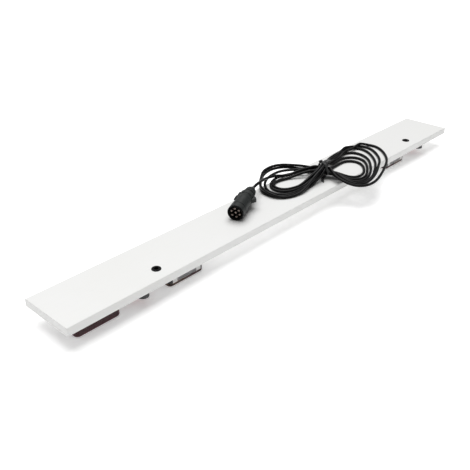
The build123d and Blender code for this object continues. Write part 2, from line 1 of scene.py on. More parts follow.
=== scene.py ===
# %% [markdown]
# # A trailer lighting board, stored face down with its cable tied on its back
#
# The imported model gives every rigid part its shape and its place. This lesson gives those parts
# their finishes, and makes what a solid modeller makes badly: a six-metre cable wound in a
# figure of eight, the strap round it, the optics moulded inside the lenses, and bulb filaments.
# Everything is in metres and in the model's own frame: X runs along the board, Z points up, the
# floor is z = 0, and the board's near long edge faces -Y.

import json
import math
from math import cos, pi, radians, sin

import bmesh
import bpy
import numpy as np
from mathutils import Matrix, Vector

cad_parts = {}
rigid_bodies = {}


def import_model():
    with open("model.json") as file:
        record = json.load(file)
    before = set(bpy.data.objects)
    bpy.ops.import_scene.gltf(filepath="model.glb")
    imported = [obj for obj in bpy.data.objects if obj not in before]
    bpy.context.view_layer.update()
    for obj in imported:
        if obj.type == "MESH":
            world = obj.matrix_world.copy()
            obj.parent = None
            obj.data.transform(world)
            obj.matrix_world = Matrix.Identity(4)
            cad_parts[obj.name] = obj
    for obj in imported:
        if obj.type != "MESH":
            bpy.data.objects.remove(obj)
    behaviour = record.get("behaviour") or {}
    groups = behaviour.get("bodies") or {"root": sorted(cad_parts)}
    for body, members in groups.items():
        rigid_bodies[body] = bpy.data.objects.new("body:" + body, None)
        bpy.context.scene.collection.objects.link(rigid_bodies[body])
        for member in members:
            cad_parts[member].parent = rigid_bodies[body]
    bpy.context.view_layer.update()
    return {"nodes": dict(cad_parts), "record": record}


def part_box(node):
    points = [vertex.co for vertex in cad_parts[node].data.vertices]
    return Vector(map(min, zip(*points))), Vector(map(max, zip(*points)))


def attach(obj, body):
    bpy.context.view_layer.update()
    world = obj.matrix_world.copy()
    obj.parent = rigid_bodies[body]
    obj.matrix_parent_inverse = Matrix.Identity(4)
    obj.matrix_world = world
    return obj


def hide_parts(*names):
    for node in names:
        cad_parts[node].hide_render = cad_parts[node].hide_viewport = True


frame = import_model()
mm = 0.001
back_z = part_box("board_profile")[1][2]
print("nodes", len(frame["nodes"]), "back face at", round(back_z, 4), "m")

# %% [markdown]
# ## The camera
#
# The camera looks from the left and a little above, with a normal lens a long way off, so the board
# keeps nearly parallel edges. The camera only has a place, a direction and a focal length.

# %% Camera
lens_body = bpy.data.cameras.new("camera")
lens_body.lens = 49.83
lens_body.sensor_width = 36.0
camera = bpy.data.objects.new("camera", lens_body)
camera.location = (-1.1445, -0.8890, 0.7379)
camera.rotation_euler = (radians(60.80), 0.0, radians(-47.08))
bpy.context.scene.collection.objects.link(camera)
bpy.context.scene.camera = camera
print("camera", round(camera.location.length, 2), "m from the middle of the board")

# %% [markdown]
# ## Sums on sockets
#
# A procedural finish is a sum of patterns, and sums are easier to read as Python than as a tangle
# of nodes. `Flow` wraps the socket that a pattern comes out of, so `1 - dust * 0.3` adds its Math
# nodes by itself. `Finish` is one material. Its `node` method adds any node: settings first, then
# the values or links of its sockets. What is the same all over a surface is set on the shader.

# %% Flow and Finish
class Flow:
    """What comes out of a node, ready to be added to, taken from or scaled."""

    def __init__(self, finish, socket):
        self.finish, self.socket = finish, socket

    def __add__(self, other):
        return self.finish.sum("ADD", self, other)

    def __sub__(self, other):
        return self.finish.sum("SUBTRACT", self, other)

    def __rsub__(self, other):
        return self.finish.sum("SUBTRACT", other, self)

    def __mul__(self, other):
        return self.finish.sum("MULTIPLY", self, other)

    __radd__, __rmul__ = __add__, __mul__


class Finish:
    """One node material, with the patterns that the finishes of a lighting board need."""

    def __init__(self, name, **all_over):
        self.material = bpy.data.materials.new(name)
        self.material.use_nodes = True
        self.tree = self.material.node_tree
        self.shader = self.tree.nodes["Principled BSDF"]
        self.face(**all_over)
        self.place = self.node("TexCoord", output="Object")

    def node(self, kind, settings=(), sockets=(), output=0):
        made = self.tree.nodes.new("ShaderNode" + kind)
        for setting, value in dict(settings).items():
            setattr(made, setting, value)
        for socket, value in dict(sockets).items():
            self.plug_in(made, socket, value)
        return Flow(self, made.outputs[output])

    def plug_in(self, node, socket, value):
        if isinstance(value, Flow):
            self.tree.links.new(value.socket, node.inputs[socket])
        else:
            node.inputs[socket].default_value = value

    def face(self, **sockets):
        """Values or links of the shader. base_color stands for its Base Color socket."""
        for name, value in sockets.items():
            socket = {"ior": "IOR", "specular": "Specular IOR Level"}.get(
                name, name.replace("_", " ").title())
            if socket == "Base Color" and not isinstance(value, Flow):
                value = (*value, 1.0)
            self.plug_in(self.shader, socket, value)

    def sum(self, operation, first, second):
        return self.node("Math", {"operation": operation}, {0: first, 1: second})

    def grain(self, per_metre, detail=2.0, stretch=(1.0, 1.0, 1.0)):
        """Cloudy noise from 0 to 1, so many clouds to the metre, stretched by direction."""
        spread = self.node("VectorMath", {"operation": "MULTIPLY"}, {0: self.place, 1: stretch})
        return self.node("TexNoise", (), {"Vector": spread, "Scale": per_metre, "Detail": detail})

    def ramp(self, value, low, high, start=0.0, end=1.0):
        """Goes smoothly from start to end as the value goes from low to high."""
        return self.node("MapRange", {"interpolation_type": "SMOOTHSTEP"},
                         {"Value": value, "From Min": low, "From Max": high,
                          "To Min": start, "To Max": end})

    def tint(self, amount, one, other):
        """One colour, going over to the other as the amount goes from 0 to 1."""
        colours = {which: value if isinstance(value, Flow) else (*value, 1.0)
                   for which, value in ((6, one), (7, other))}
        return self.node("Mix", {"data_type": "RGBA"}, {0: amount, **colours}, 2)

    def axis(self, which):
        """One coordinate of the surface, in metres: 0 is X, 1 is Y, 2 is Z."""
        return self.node("SeparateXYZ", (), {0: self.place}, which)

    def facing(self, which):
        """How far the surface faces along X, Y or Z, from -1 to 1."""
        normal = self.node("NewGeometry", output="Normal")
        return self.node("SeparateXYZ", (), {0: normal}, which)

    def relief(self, height, depth):
        """Raises the surface by the height, where a height of 1 is this many metres."""
        self.face(normal=self.node("Bump", (), {"Height": height, "Distance": depth}))


finishes = {}
trial = Finish("trial")
print("1 - noise * 0.3 adds a", (1 - trial.grain(10) * 0.3).socket.node.bl_label, "node")
bpy.data.materials.remove(trial.material)

# %% [markdown]
# ## The board's white plastic
#
# The board is extruded from white PVC. The die draws faint lines along it, the thin ribs inside
# pull its skin in a little at every chamber, and handling leaves the gloss uneven. All of that is
# too shallow for mesh and is what a bump is for: the noise is stretched along X for the die's
# lines, and a sine across Y follows the chambers.

# %% White board
def fine_plastic(name, colour, roughness, grain_size=0.0012, depth=0.00004, dusty=0.0, **more):
    """Moulded plastic: a fine grain, uneven gloss and a little dust on what looks up."""
    made = Finish(name, base_color=colour, roughness=roughness, **more)
    clouds, fine = made.grain(14, 3), made.grain(1 / grain_size, 2)
    darker = tuple(value * 0.80 for value in colour)
    shade = made.tint(made.ramp(clouds, 0.35, 0.7), colour, darker)
    if dusty:
        patches = made.ramp(made.grain(60, 4), 0.4, 0.75, 0, dusty)
        dust = made.ramp(made.facing(2), 0.1, 1.0) * patches
        shade = made.tint(dust, shade, (0.5, 0.49, 0.46))
    gloss = made.ramp(clouds, 0.3, 0.7, -0.05, 0.07) + made.ramp(fine, 0.3, 0.7, -0.03, 0.03)
    made.face(base_color=shade, roughness=gloss + roughness)
    made.relief(fine, depth)
    return made


chamber_pitch = 0.0185
board = Finish("board_white", specular=0.45)
drawn = board.grain(1, 3, (5, 700, 700))
clouds = board.grain(5, 3)
sink = board.sum("SINE", board.axis(1) * (2 * pi / chamber_pitch) + pi / 2, 0.0)
scuffs = board.ramp(board.grain(1, 4, (30, 260, 90)), 0.66, 0.74)
yellowed = board.tint(board.ramp(clouds, 0.3, 0.75), (0.83, 0.83, 0.822), (0.80, 0.80, 0.785))
board.face(base_color=board.tint(scuffs * 0.25, yellowed, (0.66, 0.66, 0.65)),
           roughness=board.ramp(clouds, 0.3, 0.7, 0.34, 0.44) + scuffs * 0.18 + drawn * 0.05)
board.relief(drawn * 0.2 + sink * 0.6 + scuffs * 0.2, 0.00008)
finishes["board_white"] = board
print("board nodes", len(board.tree.nodes))

# %% [markdown]
# ## Rubber, cable sheath, strap and plug
#
# They are all black, and it is the gloss that tells them apart. Rubber is dull and grainy and
# holds a little dust. The cable's sheath is soft PVC with a low satin shine. The strap is duller
# than the cable, and the plug is moulded in a dark grey with a green cast and a fine matt grain.

# %% Black parts
finishes["rubber_black"] = fine_plastic("rubber_black", (0.004, 0.004, 0.0042), 0.60, 0.0007,
                                        0.00008, dusty=0.01, specular=0.12)
finishes["cable_black"] = fine_plastic("cable_black", (0.0045, 0.0045, 0.005), 0.38, 0.0016,
                                       0.00005, specular=0.17)
finishes["tie_black"] = fine_plastic("tie_black", (0.022, 0.023, 0.024), 0.55, 0.0009, 0.00006)
finishes["wire_black"] = fine_plastic("wire_black", (0.016, 0.016, 0.017), 0.48, 0.0030, 0.0003)
finishes["lamp_black"] = fine_plastic("lamp_black", (0.020, 0.020, 0.022), 0.45, 0.0010, 0.00006)
finishes["plug_black"] = fine_plastic("plug_black", (0.017, 0.020, 0.0195), 0.44, 0.0008,
                                      0.00006, dusty=0.03, specular=0.32)
print("black finishes", [name for name in finishes if name.endswith("black")])

# %% [markdown]
# ## Lenses
#
# A lamp's lens is clear plastic with dye in it, so it is made with transmission and not with a
# colour on top. Its walls that face sideways are painted darker: painted shade, for the shade the
# walls sit in under the board, and how far the surface faces sideways gives the mask. The fog
# lamp's wall gets a redder painted shade than the rear lenses, so it has a finish of its own. The
# fine frosting of the mould is a small bump.

# %% Dyed lenses
def dyed_lens(name, dye, wall_painted_shade=None, frost=0.10, through=0.8, specular=0.5):
    made = Finish(name, roughness=frost, ior=1.49, transmission_weight=through, specular=specular)
    clouds, fine = made.grain(25, 2), made.grain(900, 2)
    deeper = tuple(value * 0.75 for value in dye)
    shade = made.tint(made.ramp(clouds, 0.3, 0.7), dye, deeper)
    if wall_painted_shade:
        # Painted shade: the walls that face sideways take the darker wall colour, for the shade
        # under the board.
        painted_shade_mask = 1 - made.ramp(made.sum("ABSOLUTE", made.facing(2), 0.0), 0.6, 0.9)
        shade = made.tint(painted_shade_mask, shade, wall_painted_shade)
    made.face(base_color=shade, roughness=made.ramp(fine, 0.3, 0.7, frost - 0.03, frost + 0.05))
    made.relief(fine, 0.00002)
    return made


# The second colour of each lens is painted shade on its sideways walls.
finishes["lens_red"] = dyed_lens("lens_red", (0.24, 0.008, 0.014), (0.060, 0.014, 0.020))
finishes["lens_amber"] = dyed_lens("lens_amber", (0.62, 0.17, 0.010), (0.045, 0.030, 0.030))
finishes["lens_fog"] = dyed_lens("lens_fog", (0.24, 0.008, 0.014), (0.11, 0.012, 0.024),
                                 frost=0.2, specular=0.3)
finishes["lens_clear"] = dyed_lens("lens_clear", (0.62, 0.62, 0.63), frost=0.18, through=0.5)
finishes["bulb_glass"] = dyed_lens("bulb_glass", (0.95, 0.96, 0.97), frost=0.04, through=1.0)
finishes["triangle_red"] = dyed_lens("triangle_red", (0.34, 0.010, 0.014), frost=0.12, through=0.35)
print("lens finishes", [name for name in finishes if "lens" in name])

# %% [markdown]
# ## White lamp housing and bare metal
#
# The lamps' housings are glossier than the board. Metal is metallic with a light colour of its
# own: vacuum silver for reflectors, dull zinc for screws, and bright brass for caps and pins. The
# zinc's crystals and the brass's handling marks change its roughness more than its colour.

# %% Housing and metals
finishes["lamp_white"] = fine_plastic("lamp_white", (0.78, 0.78, 0.77), 0.24, 0.0015, 0.00003)


def bare_metal(name, colour, roughness, grains, tarnish):
    made = Finish(name, metallic=1.0)
    spots, fine = made.grain(grains, 3), made.grain(grains * 6, 2)
    made.face(base_color=made.tint(made.ramp(spots, 0.4, 0.75, 0, 0.7), colour, tarnish),
              roughness=made.ramp(spots, 0.3, 0.7, roughness, roughness + 0.14) + fine * 0.04)
    made.relief(fine, 0.00001)
    return made


finishes["reflector_silver"] = bare_metal("reflector_silver", (0.88, 0.89, 0.90), 0.07, 40,
                                          (0.74, 0.75, 0.77))
finishes["screw_steel"] = bare_metal("screw_steel", (0.68, 0.68, 0.70), 0.28, 400,
                                     (0.50, 0.50, 0.52))
finishes["bulb_brass"] = bare_metal("bulb_brass", (0.80, 0.64, 0.36), 0.20, 300,
                                    (0.56, 0.42, 0.22))
finishes["pin_brass"] = bare_metal("pin_brass", (0.34, 0.28, 0.25), 0.34, 500,
                                   (0.22, 0.17, 0.14))
print("finishes", len(finishes))

# %% [markdown]
# ## Putting the finishes on
#
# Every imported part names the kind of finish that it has, so one loop dresses them all. The shapes
# come from the solid model and stay as they are: only what is in their material slots changes. The
# fog lamp's lens is the one part that gets another finish than its neighbours in the same plastic.

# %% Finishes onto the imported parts
for part in frame["record"]["subparts"]:
    node = bpy.data.objects[part["node"]]
    while len(node.material_slots) == 0:
        node.data.materials.append(None)
    for slot in node.material_slots:
        slot.material = finishes[part["material_slot"]].material
bpy.data.objects["fog_lamp_lens"].material_slots[0].material = finishes["lens_fog"].material

# %% [markdown]
# ## Winding the cable
#
# The real cable was wound over two hands into a figure of eight and tied at the crossing. So the
# path repeats the same four stretches: across the tie, round the right-hand loop, back across the
# tie, round the left-hand loop. Each loop lies between an innermost and an outermost outline, and
# a share from 0 to 1 says how far out this turn goes. Loops of uneven share fan out where nothing
# holds them. Lengths in these cells are millimetres, which is how a cable maker would write them.

# %% Facts of the cable
cable_diameter = 7.0
back = back_z / mm
tie_spot = np.array([134.6, -7.8])
tie_height = back + 18.6
rising = radians(8)
exit_way = np.array([cos(rising), 0.0, sin(rising)])
exit_point = np.array([84.0, 0.0, back]) + 26 * exit_way
plug_nose = np.array([-197.7, -9.2, 71.1])
plug_way = np.array([113.7, 49.0, 6.0])
plug_way = plug_way / math.sqrt(113.7 ** 2 + 49.0 ** 2 + 6.0 ** 2)

# the lead from the hank to the plug, as listed points, in metres
lead_route = [
    (0.0020, 0.0700, 0.0665),
    (-0.0200, 0.0620, 0.0720),
    (-0.0435, 0.0520, 0.0770),
    (-0.0610, 0.0475, 0.0780),
    tuple((plug_nose + plug_way * 129) * mm),
    tuple((plug_nose + plug_way * 110) * mm),
]

# outlines of the loops from above, from the tie round the loop and back to it
right_outer = [(132, -40), (122, -86), (137, -121), (180, -130), (233, -119), (288, -96),
               (349, -64), (393, -14), (392, 26), (338, 36), (268, 32), (198, 16)]
right_inner = [(160, -30), (164, -56), (178, -76), (206, -80), (236, -66), (258, -46),
               (267, -22), (255, -4), (230, 2), (205, 3), (182, 2), (162, 0)]
left_outer = [(100, -18), (60, -24), (15, -28), (-26, -22), (-47, 3), (-46, 37),
              (-22, 70), (13, 98), (53, 115), (91, 112), (118, 86), (130, 48)]
left_inner = [(104, -14), (74, -12), (40, -4), (12, 4), (-4, 17), (-5, 34),
              (8, 46), (30, 50), (54, 45), (76, 34), (98, 20), (114, 6)]
right_share = (0.0, 0.24, 0.42, 0.60, 0.76, 1.0)
left_share = (0.94, 0.66, 0.30, 0.02, 1.0)
bulge = (0, 12, 26, 38, 30, 0)          # how far a turn's top bulges over the back edge
turns = len(right_share)
print("turns", turns, "points for each", 2 * (len(right_outer) + 2))

# %% [markdown]
# At the tie the strands lie in rows on each other, like logs: first the one that comes out of the
# board, then the rows that run one way, and on them the rows that cross them.

# %% Where each strand passes the tie
over_angle, under_angle = radians(21), radians(-64)
over_rows = [(0, -12.2), (-7.2, 7.6), (0, 7.6), (7.2, 7.6), (3.6, 14.2), (-3.6, 14.2)]
under_rows = [(7.2, -5.8), (0, -5.8), (-7.2, -5.8), (-7.2, 0.9), (0, 0.9), (7.2, 0.9)]


def tie_pass(angle, row, steps):
    """The points of one strand through the tie, at these steps along it."""
    across, up = row
    along = np.array([cos(angle), sin(angle)])
    side = np.array([-sin(angle), cos(angle)])
    spots = [tie_spot + along * step + side * across for step in steps]
    return [(*spot, tie_height + up) for spot in spots]


def loop_points(inner, outer, share, turn, rows, lean, hand):
    """One loop, from the tie round and back. It comes down from the tie and lies flat."""
    points = []
    for place in range(len(outer) - 1, -1, -1):
        first, last = np.array(inner[place], float), np.array(outer[place], float)
        spot = first + (last - first) * share + hand.normal(0, 1.5, 2)
        spot = spot + np.array([0.73, 0.68]) * lean * float(np.clip((place - 6) * 0.4, 0, 1))
        reach = float(np.hypot(*(spot - tie_spot)))
        near = float(np.clip(1 - (reach - 12) / 80, 0, 1)) ** 1.3
        lie = back + 5 + 2 * turn
        tied = tie_height + rows[0 if place > 5 else 1]
        points.append((*spot, lie + (tied - lie) * near))
    return points


hand = np.random.default_rng(3)
wound = [exit_point, exit_point + 12 * exit_way]
for turn in range(turns):
    over, under = over_rows[turn], under_rows[turn]
    wound += tie_pass(over_angle, over, (-9, 9) if turn else (9,))
    wound += loop_points(right_inner, right_outer, right_share[turn], turn,
                         (over[1], under[1]), bulge[turn], hand)
    wound += tie_pass(under_angle, under, (9, -9))
    if turn < turns - 1:
        wound += loop_points(left_inner, left_outer, left_share[turn], turn,
                             (under[1], over_rows[turn + 1][1]), 0, hand)
wound += [(118, 26, back + 17), (98, 43, back + 16), (74, 52, back + 14.5), (50, 63, back + 13.5),
          (26, 72, back + 13.5)]
wound = np.array(wound + [np.array(point) / mm for point in lead_route])
print("hand-laid points", len(wound))

# %% [markdown]
# ## Letting the cable settle
#
# The laid path still passes through itself. A small rope simulation puts that right, which is
# quicker and steadier than a physics engine for one rope: the path becomes beads 6 mm apart, and
# each round lets them sink a little, smooths the bend, keeps every bend above its least radius,
# pushes touching strands one diameter apart, and keeps the beads evenly spaced. Where two strands
# cross, the push is mostly upward, so the later turn climbs over the earlier one.

# %% Beads along the path
def beads_along(points, spacing):
    """Evenly spaced beads on a smooth curve through the points."""
    ends = np.vstack([2 * points[0] - points[1], points, 2 * points[-1] - points[-2]])
    fine = []
    for a, b, c, d in zip(ends[:-3], ends[1:-2], ends[2:-1], ends[3:]):
        for t in np.arange(12) / 12:
            fine.append(0.5 * (2 * b + (c - a) * t + (2 * a - 5 * b + 4 * c - d) * t ** 2
                               + (3 * b - a - 3 * c + d) * t ** 3))
    fine = np.array(fine + [ends[-2]])
    run = np.concatenate([[0], np.cumsum(np.linalg.norm(np.diff(fine, axis=0), axis=1))])
    marks = np.linspace(0, run[-1], int(round(run[-1] / spacing)) + 1)
    return np.stack([np.interp(marks, run, fine[:, axis]) for axis in range(3)], -1)


bead_spacing = 6.0
laid = beads_along(wound, bead_spacing)
print("beads", len(laid))


# %% [markdown]
# The two helpers below are the simulation. `spread_apart` looks only at pairs of beads that are
# near each other, found afresh every few rounds, because testing all pairs each time is slow. In
# `settle`, chords over 4, 6 and 8 beads can't get shorter than on a circle of the least radius,
# and that keeps the cable from kinking. The exit and the lead to the plug are held still.

# %% Rope simulation
def spread_apart(beads, first, second, diameter):
    """Push beads that touch one diameter apart. Crossing strands part upward."""
    gap = beads[second] - beads[first]
    distance = np.linalg.norm(gap, axis=1) + 1e-9
    short = np.clip(diameter * 1.02 - distance, 0, None) * 0.5
    heading = np.gradient(beads, axis=0)
    heading /= np.linalg.norm(heading, axis=1)[:, None]
    crossing = np.linalg.norm(np.cross(heading[first], heading[second]), axis=1)
    upward = np.where(np.abs(gap[:, 2]) > 1.5, np.sign(gap[:, 2]), 1.0)
    gap[:, 2] += upward * diameter * 1.5 * crossing
    push = gap / np.linalg.norm(gap, axis=1)[:, None] * short[:, None]
    moved, touches = np.zeros_like(beads), np.zeros(len(beads))
    for which, way in ((first, -push), (second, push)):
        np.add.at(moved, which, way)
        np.add.at(touches, which, short > 0)
    return beads + moved / np.maximum(touches, 1)[:, None] * 1.4


tie_grip, tie_reach = 15, 70            # how near the tie strands are held, and how far it lifts
board_half_width = 68
boot_box = (76, 112, 11.5)              # the cable boot: from x, to x, and half its width
boot_clearance = 13                     # strands over the boot stay this far off the back


def settle(laid, diameter, least_radius, rounds, held_last):
    """Settle a laid rope on the board's back. The first two and the last beads stay."""
    count, beads, order = len(laid), laid.copy(), np.arange(len(laid))
    spacing = np.linalg.norm(np.diff(laid, axis=0), axis=1).mean()
    in_tie = np.hypot(*(laid[:, :2] - tie_spot).T) < tie_grip
    in_tie &= np.abs(laid[:, 2] - tie_height) < 13
    in_tie[:3] = False
    held = (order < 2) | (order >= count - held_last)
    chords = [(m, 2 * least_radius * sin(m * spacing / 2 / least_radius)) for m in (4, 6, 8)]
    for turn in range(rounds):
        spacing += 0.1 * (np.linalg.norm(np.diff(beads, axis=0), axis=1).mean() - spacing)
        if turn % 6 == 0:
            apart = ((beads[:, None] - beads[None]) ** 2).sum(-1)
            first, second = np.nonzero((apart < (1.9 * diameter) ** 2)
                                       & (order[None] - order[:, None] > 5))
        calm = 1.0 if turn < rounds * 0.7 else 0.35
        reach = np.hypot(*(beads[:, :2] - tie_spot).T)
        from_tie = np.clip((reach - tie_grip) / tie_reach, 0, 1)
        on_board = np.abs(beads[:, 1]) < board_half_width
        beads[:, 2] -= np.where(on_board, 0.10, 0.02) * calm * from_tie
        beads[:, 2] += 0.05 * (1 - from_tie) * (laid[:, 2] - beads[:, 2])
        beads[:, :2] += 0.03 * calm * (laid - beads)[:, :2]
        beads[in_tie] += 0.25 * (laid - beads)[in_tie]
        for _ in range(4):
            bend = np.zeros_like(beads)
            bend[1:-1] = 0.5 * (beads[:-2] + beads[2:]) - beads[1:-1]
            ease = bend.copy()
            ease[1:-1] -= 0.5 * (bend[:-2] + bend[2:])
            beads += 0.28 * ease
        for _ in range(3):
            for step, chord in chords:
                gap = beads[step:] - beads[:-step]
                length = np.linalg.norm(gap, axis=1) + 1e-9
                move = gap * (np.clip(chord - length, 0, None) / length * 0.25)[:, None]
                beads[step:] += move
                beads[:-step] -= move
            beads = spread_apart(beads, first, second, diameter)
            floor = np.full(count, back + diameter / 2)
            over_boot = (beads[:, 0] > boot_box[0]) & (beads[:, 0] < boot_box[1])
            over_boot &= np.abs(beads[:, 1]) < boot_box[2]
            floor[over_boot & (order > 12)] = back + boot_clearance
            beads[:, 2] = np.maximum(beads[:, 2], floor)
            gap = beads[1:] - beads[:-1]
            length = np.linalg.norm(gap, axis=1)
            move = gap * ((length - spacing) / length * 0.45)[:, None]
            beads[:-1] += move
            beads[1:] -= move
            beads[held] = laid[held]
    return beads


lead_metres = np.array(lead_route)
lead_length = np.linalg.norm(np.diff(lead_metres, axis=0), axis=1).sum() / mm
lead_beads = int(round(lead_length / bead_spacing))
least_radius, settling_rounds = 25.0, 500
rope = settle(laid, cable_diameter, least_radius, settling_rounds, lead_beads)
print("settled length", round(np.linalg.norm(np.diff(rope, axis=0), axis=1).sum()), "mm, top",
      round(rope[:, 2].max(), 1), "mm")

# %% [markdown]
# ## The cable as one spline
#
# One NURBS spline of order 3 carries the whole cable, so it bends like a cable and not like wire:
# the settled beads are its points in the hank, and the listed route is its points in the
# lead. A round bevel gives the sheath its thickness.

# %% Cable
hank_points = [tuple(bead * mm) for bead in rope[:len(rope) - lead_beads]]
line = bpy.data.curves.new("cable", "CURVE")
line.dimensions = "3D"
line.bevel_depth = cable_diameter / 2 * mm
line.bevel_resolution = 4
line.resolution_u = 3
line.use_fill_caps = True
line.materials.append(finishes["cable_black"].material)
strand = line.splines.new("NURBS")
route = [tuple(exit_point * mm)] + hank_points[1:] + lead_route
strand.points.add(len(route) - 1)
for point, spot in zip(strand.points, route):
    point.co = (*spot, 1.0)
strand.order_u = 3
strand.use_endpoint_u = True
cable = bpy.data.objects.new("cable", line)
bpy.context.scene.collection.objects.link(cable)
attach(cable, "root")
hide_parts("cable_hank", "cable_lead")
print("spline points", len(route))

# %% [markdown]
# ## Pieces made of mesh
#
# A small kit for the rest: `piece` turns points and faces into an object that rides on the model,
# and `tube_faces` joins rings of points along a path, which makes straps and wires alike.

# %% Mesh kit
def new_object(name, mesh):
    """A new object at the origin, whose mesh is already in its place."""
    made = bpy.data.objects.new(name, mesh)
    bpy.context.scene.collection.objects.link(made)
    return made


def piece(name, points, faces, slot, sharp=40):
    """A closed mesh with a finish, which stays with the board."""
    mesh = bpy.data.meshes.new(name)
    mesh.from_pydata([tuple(map(float, point)) for point in points], [], faces)
    work = bmesh.new()
    work.from_mesh(mesh)
    bmesh.ops.remove_doubles(work, verts=work.verts, dist=1e-6)
    bmesh.ops.recalc_face_normals(work, faces=work.faces)
    work.to_mesh(mesh)
    work.free()
    mesh.materials.append(finishes[slot].material)
    mesh.shade_smooth()
    mesh.set_sharp_from_angle(angle=radians(sharp))
    made = new_object(name, mesh)
    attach(made, "root")
    return made


def tube_faces(rings, corners, closed, first=0):
    """The faces between rings of corners. A path that isn't closed gets end faces."""
    faces = []
    for ring in range(rings if closed else rings - 1):
        near, far = first + ring * corners, first + (ring + 1) % rings * corners
        for corner in range(corners):
            after = (corner + 1) % corners
            faces.append((near + corner, near + after, far + after, far + corner))
    if not closed:
        faces.append(tuple(range(first, first + corners)))
        faces.append(tuple(range(first + (rings - 1) * corners, first + rings * corners)))
    return faces


# %% [markdown]
# ## The strap round the hank
#
# A strap pulled tight takes the shape of what it holds: the outer outline of the strands, with
# straight runs between them. For every direction round the bundle, the strand that reaches
# furthest that way gives the strap its place, which draws that outline with no fitting. The strap
# has thicker edges than middle, a moulded head on the far shoulder, and a tail that lies on the
# board with a pointed end.

# %% Strap band
strap_heading = radians(-20)
strap_along = np.array([cos(strap_heading), sin(strap_heading), 0.0])
strap_side = np.array([-sin(strap_heading), cos(strap_heading), 0.0])
strap_half = 2.9
centre = np.array([*tie_spot, tie_height])
offsets = rope - centre
held = rope[(np.abs(offsets @ strap_along) < strap_half + 3) & (np.hypot(*offsets[:, :2].T) < 26)]
held_across, held_up = (held - centre) @ strap_side, held[:, 2] - tie_height


def bundle_edge(angle):
    """Where the bundle's outline is in this direction round it, and the way out of it."""
    out = strap_side * cos(angle) + np.array([0, 0, sin(angle)])
    reach = held_across * cos(angle) + held_up * sin(angle)
    weight = np.exp((reach - reach.max()) * 4)
    weight /= weight.sum()
    spot = centre + strap_side * (held_across @ weight) + np.array([0, 0, held_up @ weight])
    return spot + out * (cable_diameter / 2 + 0.05), out


# the strap's own outline: across its width, and out from the strands
strap_outline = [(-1.0, 0.1), (-0.9, -0.0), (0.9, -0.0), (1.0, 0.1), (1.0, 0.9), (0.93, 1.1),
                 (0.80, 1.1), (0.68, 0.85), (-0.68, 0.85), (-0.80, 1.1), (-0.93, 1.1), (-1.0, 0.9)]
points, rings = [], 120
for turn in range(rings):
    edge, out = bundle_edge(2 * pi * turn / rings)
    points += [(edge + out * proud + strap_along * wide * strap_half) * mm
               for wide, proud in strap_outline]
strap = piece("hank_strap", points, tube_faces(rings, len(strap_outline), True), "tie_black")
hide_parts("hank_tie")
print("strap around", len(held), "beads, lowest", round(min(p[2] for p in points), 4), "m")

# %% [markdown]
# The head is a small moulded block with rounded edges and a pocket where the strap goes through.
# A cube, an inset, a sunk face and a bevel make it in bmesh, on axes that lean with the strap at
# the shoulder where it sits.

# %% Strap head
def moulded_block(name, middle, axes, size, slot, pocket):
    """A block with rounded edges and a pocket in its outer face, on axes of its own."""
    work = bmesh.new()
    bmesh.ops.create_cube(work, size=1.0)
    for vert in work.verts:
        vert.co = Vector(side * length for side, length in zip(vert.co, size))
    top = max(work.faces, key=lambda face: face.calc_center_median().z)
    bmesh.ops.inset_region(work, faces=[top], thickness=pocket)
    sunk = bmesh.ops.extrude_face_region(work, geom=[top])["geom"]
    work.faces.remove(top)
    for vert in (part for part in sunk if isinstance(part, bmesh.types.BMVert)):
        vert.co.z -= size[2] * 0.45
    bmesh.ops.bevel(work, geom=work.edges[:], offset=min(size) * 0.09, segments=2,
                    affect="EDGES", profile=0.6)
    work.verts.ensure_lookup_table()
    points = [(middle + sum(axis * step for axis, step in zip(axes, vert.co))) * mm
              for vert in work.verts]
    faces = [tuple(vert.index for vert in face.verts) for face in work.faces]
    work.free()
    return piece(name, points, faces, slot, sharp=50)


edge, out = bundle_edge(radians(48))
head_axes = (strap_along, np.cross(out, strap_along), out)
strap_head = moulded_block("hank_strap_head", edge + out * 2.8, head_axes, (7.8, 7.0, 4.2),
                           "tie_black", 1.7)

# %% [markdown]
# The tail is the strap's spare end. It comes off the bundle, bends down to the board and narrows
# to a point, so it is a flat strip along a smooth path of a few chosen points.

# %% Strap tail
def ribbon(name, path, widths, thickness, slot):
    """A flat strip along a path. It lies flat, and its width changes from start to end."""
    points = []
    for spot, way, wide in zip(path, np.gradient(path, axis=0), widths):
        way = way / np.linalg.norm(way)
        side = np.cross(way, [0, 0, 1.0])
        side /= np.linalg.norm(side)
        up = np.cross(side, way)
        for across, height in ((-1, 0.25), (-0.85, 0), (0.85, 0), (1, 0.25), (1, 0.75),
                               (0.85, 1), (-0.85, 1), (-1, 0.75)):
            points.append((spot + side * across * wide / 2 + up * height * thickness) * mm)
    return piece(name, points, tube_faces(len(path), 8, False), slot)


tail_path = beads_along(np.array([(129, -20, 56.5), (122, -18.5, 56.0), (115, -21, 54.6),
                                  (109, -27, 53.0), (105, -33, 52.5)], float), 1.0)
tail_end = np.arange(len(tail_path))[::-1]
tail_widths = 6.6 * np.clip(0.25 + tail_end / 9, 0, 1)
strap_tail = ribbon("hank_strap_tail", tail_path, tail_widths, 1.2, "tie_black")
print("strap tail", len(tail_path), "mm long")

# %% [markdown]
# ## Optics moulded into the lenses
#
# Seen from the front of the board, a lamp is not a smooth window. The amber half has upright
# flutes that spread the indicator's light sideways, and the red half and the fog lamp have rows of
# pillow lenses. They are on the inside, where dirt can't reach them. A height over the plate gives
# them: one formula for flutes and one for pillows, worked out on a grid of points.

